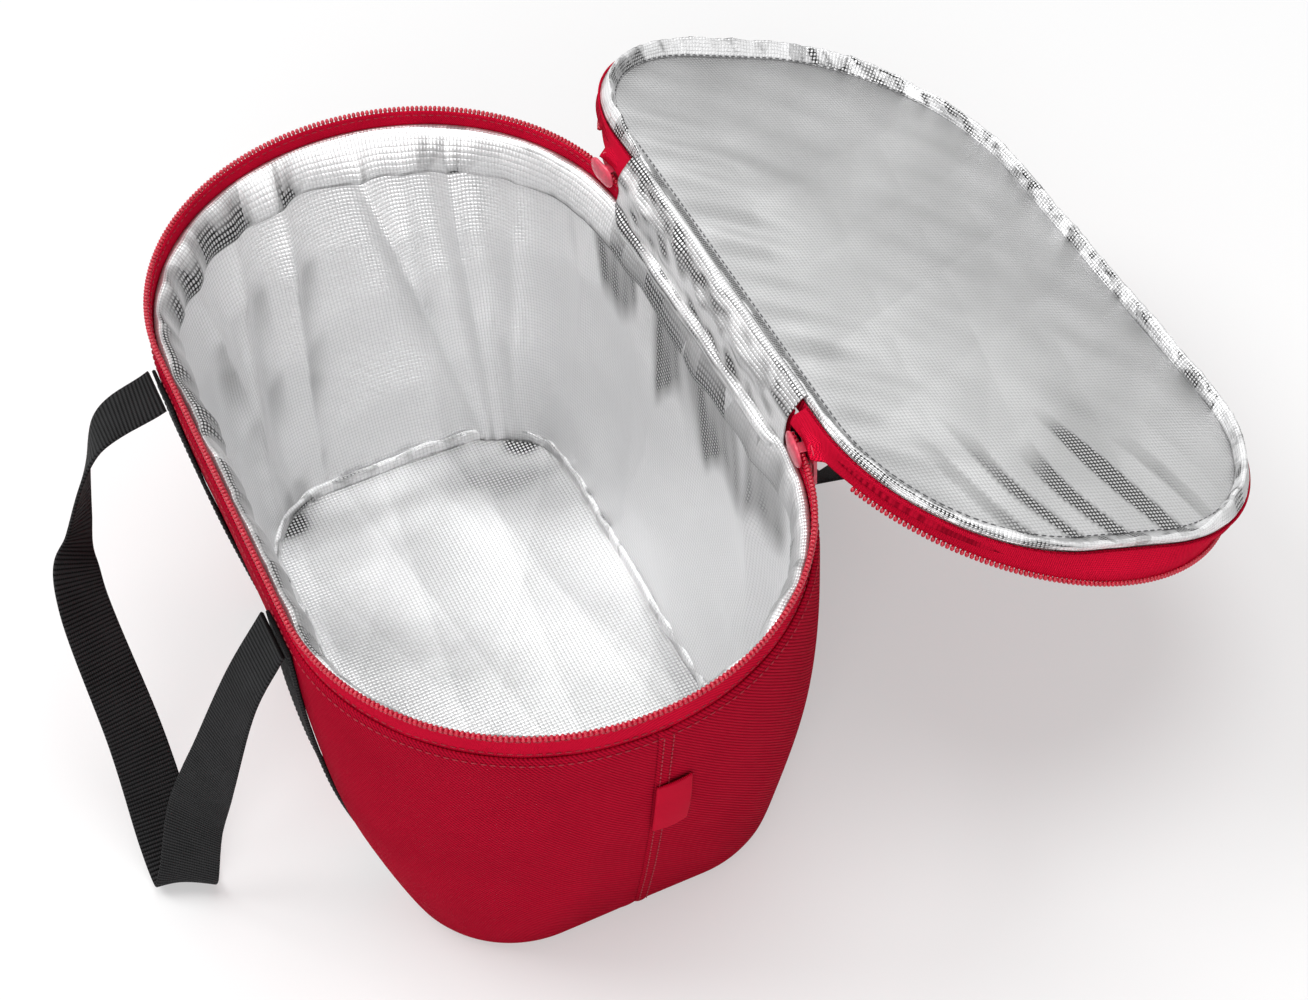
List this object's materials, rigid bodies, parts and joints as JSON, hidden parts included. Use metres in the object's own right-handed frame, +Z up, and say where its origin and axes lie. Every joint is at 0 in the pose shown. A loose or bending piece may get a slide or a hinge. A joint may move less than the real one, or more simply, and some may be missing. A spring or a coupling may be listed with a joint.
{
  "type": "insulated cooler bag",
  "caption": "Soft insulated cooler bag: tapered oval tub of red fabric with foam and foil lining, zip lid hinged at the back, webbing handles that swing.",
  "frame": {"origin": "the middle of the base, on the floor that the bag stands on", "axes": "+X along the bag to the near end with the side tab, -Y to the front with the handle that is let down, +Y to the back and the lid's hinge, +Z up"},
  "size_m": [0.4342, 0.5744, 0.2426],
  "materials": {
    "red_fabric": "woven polyester, fine twill",
    "red_ribbon": "smooth woven ribbon",
    "foam": "closed-cell insulating foam, hidden",
    "foil": "silver embossed foil film",
    "foil_binding": "silver foil film, crinkled",
    "zip_tape": "woven zip tape",
    "zip_coil": "nylon coil",
    "slider": "satin enamel",
    "webbing": "ribbed webbing"
  },
  "bodies": {
    "tub": {"front_panel": "red_fabric", "back_panel": "red_fabric", "base_panel": "red_fabric", "side_tab": "red_ribbon", "base_foam": "foam", "wall_foam": "foam", "wall_lining": "foil", "floor_lining": "foil", "floor_binding": "foil_binding", "rim_binding": "foil_binding", "tub_zip_tape": "zip_tape", "tub_zip_coil": "zip_coil", "hinge_outer": "red_fabric", "hinge_lining": "foil", "front_near_strap": "webbing", "front_far_strap": "webbing", "back_near_strap": "webbing", "back_far_strap": "webbing"},
    "lid": {"lid_panel": "red_fabric", "lid_foam": "foam", "lid_lining": "foil", "lid_binding": "foil_binding", "lid_zip_tape": "zip_tape"},
    "lid_chain": {"lid_zip_coil": "zip_coil"},
    "near_slider": {"near_slider": "slider"},
    "far_slider": {"far_slider": "slider"},
    "near_pull": {"near_pull": "slider"},
    "far_pull": {"far_pull": "slider"},
    "front_handle": {"front_handle": "webbing"},
    "back_handle": {"back_handle": "webbing"}
  },
  "joints": [
    {"name": "lid_hinge", "type": "hinge", "parent": "tub", "child": "lid", "pos_m": [0, 0.1271, 0.2368], "axis": [1, 0, 0], "range_deg": [0, 203], "deforming": ["hinge_outer", "hinge_lining"]},
    {"name": "lid_chain_turn", "type": "slide", "parent": "lid", "child": "lid_chain", "axis": [0, 0.3907, 0.9205], "range_m": [0, 0.028], "deforming": ["lid_zip_tape"]},
    {"name": "near_slider_run", "type": "hinge", "parent": "tub", "child": "near_slider", "pos_m": [0.09, 0, 0.2204], "axis": [0, 0, -1], "range_deg": [0, 163]},
    {"name": "far_slider_run", "type": "hinge", "parent": "tub", "child": "far_slider", "pos_m": [-0.09, 0, 0.2204], "axis": [0, 0, 1], "range_deg": [0, 163]},
    {"name": "near_pull_swing", "type": "hinge", "parent": "near_slider", "child": "near_pull", "pos_m": [0.10933, 0.12936, 0.2204], "axis": [0.989, -0.1478, 0], "range_deg": [0, 60]},
    {"name": "far_pull_swing", "type": "hinge", "parent": "far_slider", "child": "far_pull", "pos_m": [-0.10933, 0.12936, 0.2204], "axis": [0.989, 0.1478, 0], "range_deg": [0, 60]},
    {"name": "front_handle_swing", "type": "hinge", "parent": "tub", "child": "front_handle", "pos_m": [0, -0.1306, 0.2], "axis": [-1, 0, 0], "range_deg": [0, 110]},
    {"name": "back_handle_swing", "type": "hinge", "parent": "tub", "child": "back_handle", "pos_m": [0, 0.1306, 0.2], "axis": [1, 0, 0], "range_deg": [0, 28]}
  ],
  "couplings": [
    {"joint": "lid_chain_turn", "follows": "lid_hinge", "m_per_rad": 0.0079029}
  ]
}
